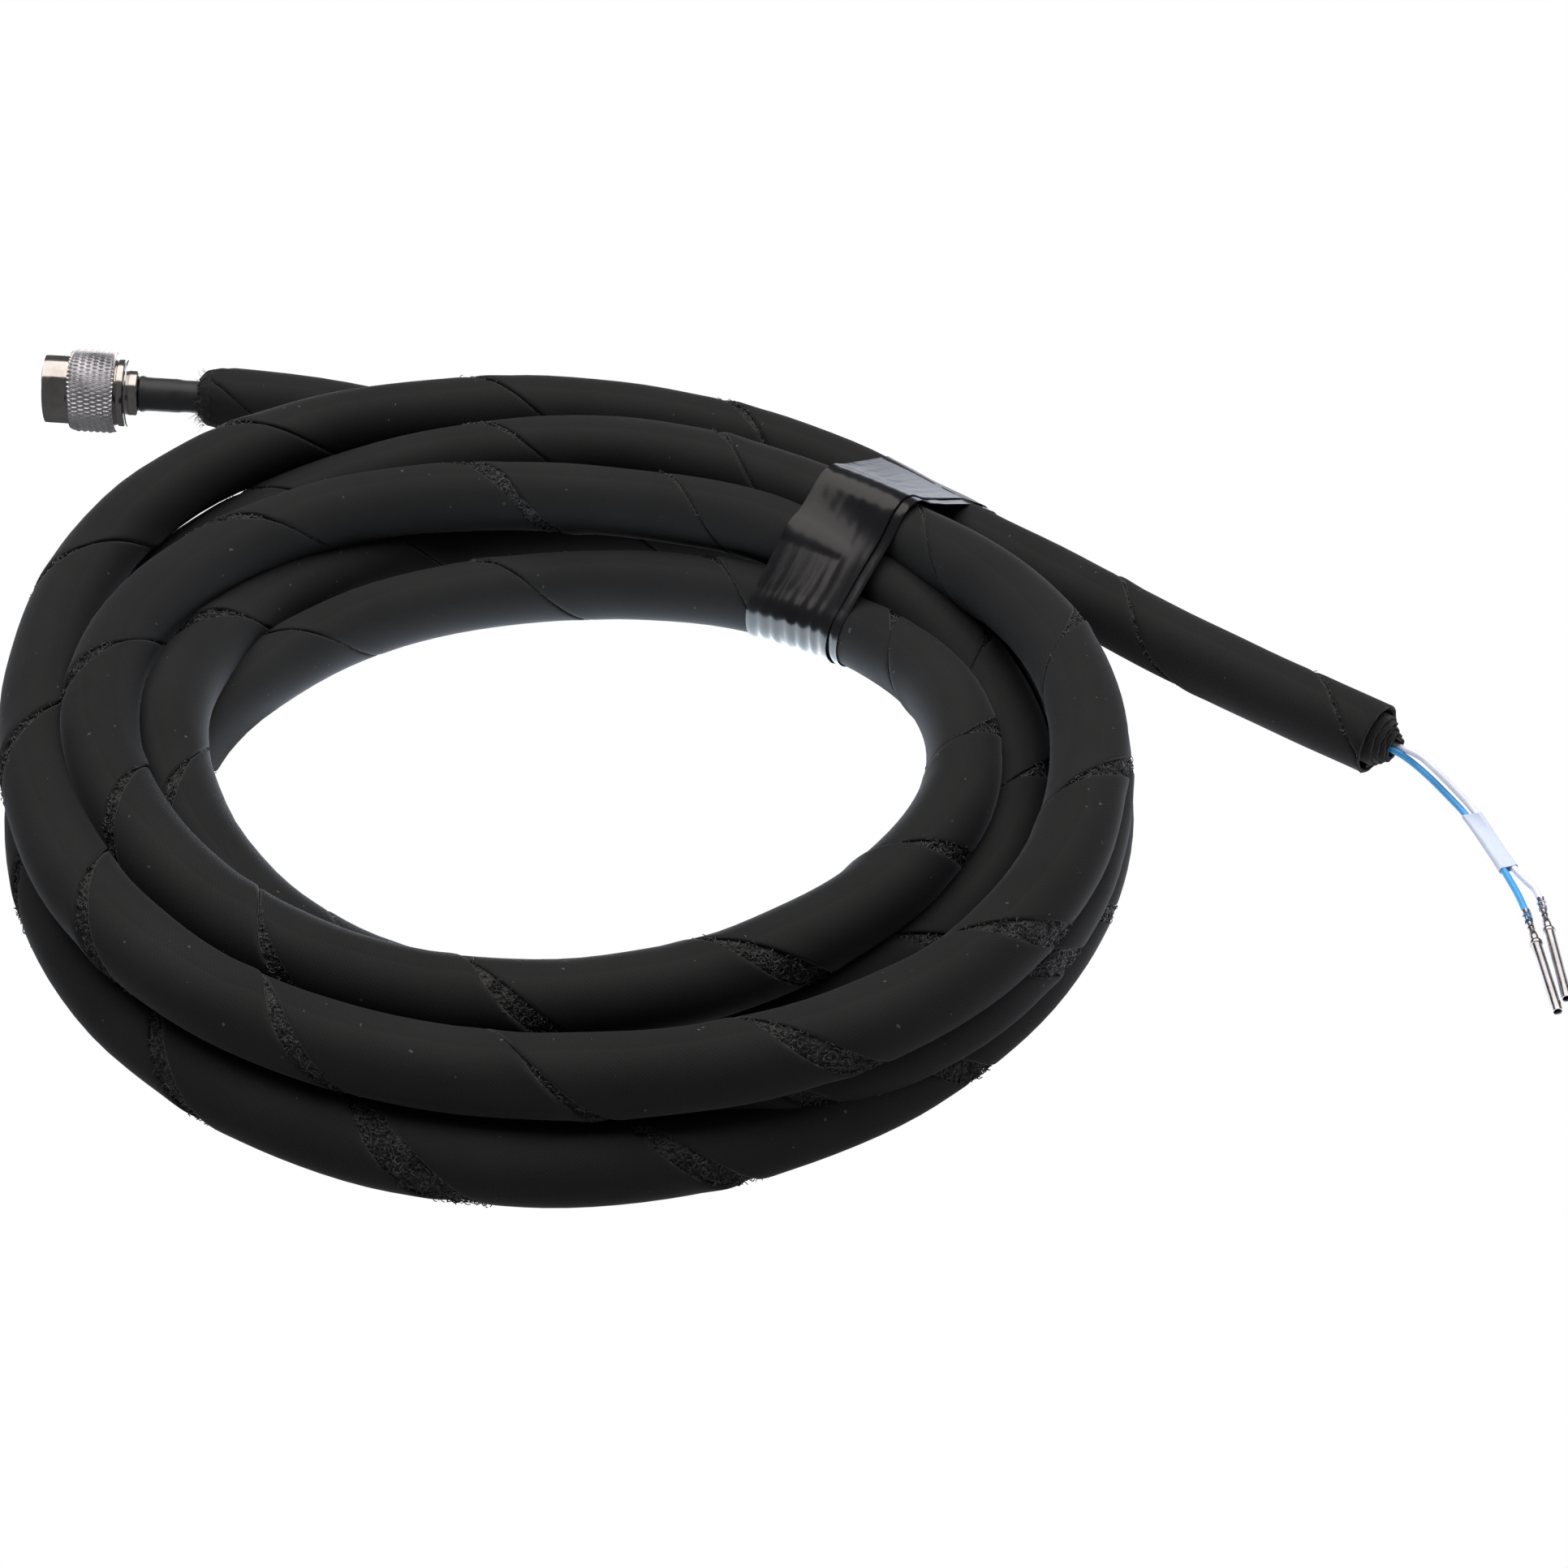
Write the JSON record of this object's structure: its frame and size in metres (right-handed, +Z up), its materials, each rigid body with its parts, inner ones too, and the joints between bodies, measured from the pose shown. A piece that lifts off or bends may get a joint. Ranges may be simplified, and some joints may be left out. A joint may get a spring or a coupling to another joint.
{
  "type": "wrapped signal cable",
  "caption": "Fabric-wrapped two-core signal cable in a taped coil, with a threaded coaxial plug on one end and crimped socket contacts on the other.",
  "frame": {"origin": "on the floor, at the middle of the coil's eye", "axes": "+Z up, +X towards the side where the two contacts lie, the plug lies on the -X side"},
  "size_m": [0.2425, 0.1947, 0.024],
  "materials": {
    "knit_fabric": "matt close-knit black fabric face",
    "hook_fabric": "matt black fabric backing with curly pile",
    "pvc_tape": "glossy black vinyl tape",
    "nickel": "bright nickel plate",
    "spring_steel": "bright spring steel",
    "silicone": "matt silicone",
    "ptfe": "waxy white",
    "gold_plate": "bright gold plate",
    "heat_shrink": "satin black heat-shrink",
    "cable_jacket": "satin black jacket",
    "screen_braid": "tinned copper braid",
    "blue_insulation": "light blue insulation",
    "white_insulation": "white insulation",
    "bare_wire": "tinned copper strands",
    "label": "white marker sleeve",
    "contact_steel": "bright steel contact"
  },
  "bodies": {
    "cable": {"cable_coil": "knit_fabric", "tape_inner_turn": "pvc_tape", "tape_outer_turn": "pvc_tape", "plug_body": "nickel", "gasket": "silicone", "dielectric": "ptfe", "center_pin": "gold_plate", "spring_washer": "spring_steel", "crimp_ferrule": "nickel", "heat_shrink_sleeve": "heat_shrink", "lead_outer_wrap": "knit_fabric", "lead_under_wrap": "hook_fabric", "lead_jacket": "cable_jacket", "lead_braid": "screen_braid", "lead_core_white": "white_insulation", "lead_core_blue": "blue_insulation", "wrap_start": "knit_fabric", "tail_outer_wrap": "knit_fabric", "tail_under_wrap": "hook_fabric", "tail_jacket": "cable_jacket", "tail_braid": "screen_braid", "wrap_end_core": "hook_fabric", "blue_insulation": "blue_insulation", "blue_conductor": "bare_wire", "blue_terminal": "contact_steel", "blue_hood": "contact_steel", "white_insulation": "white_insulation", "white_conductor": "bare_wire", "white_terminal": "contact_steel", "white_hood": "contact_steel", "label_sleeve": "label"},
    "snap_ring": {"retaining_ring": "spring_steel"},
    "nut": {"coupling_nut": "nickel"}
  },
  "joints": [
    {"name": "nut_slide", "type": "slide", "parent": "cable", "child": "snap_ring", "axis": [-0.9954, -0.0322, 0.0906], "range_m": [0, 0.0004]},
    {"name": "nut_spin", "type": "hinge", "parent": "snap_ring", "child": "nut", "pos_m": [-0.0972, 0.102, 0.00865], "axis": [-0.9954, -0.0322, 0.0906], "continuous": true}
  ]
}
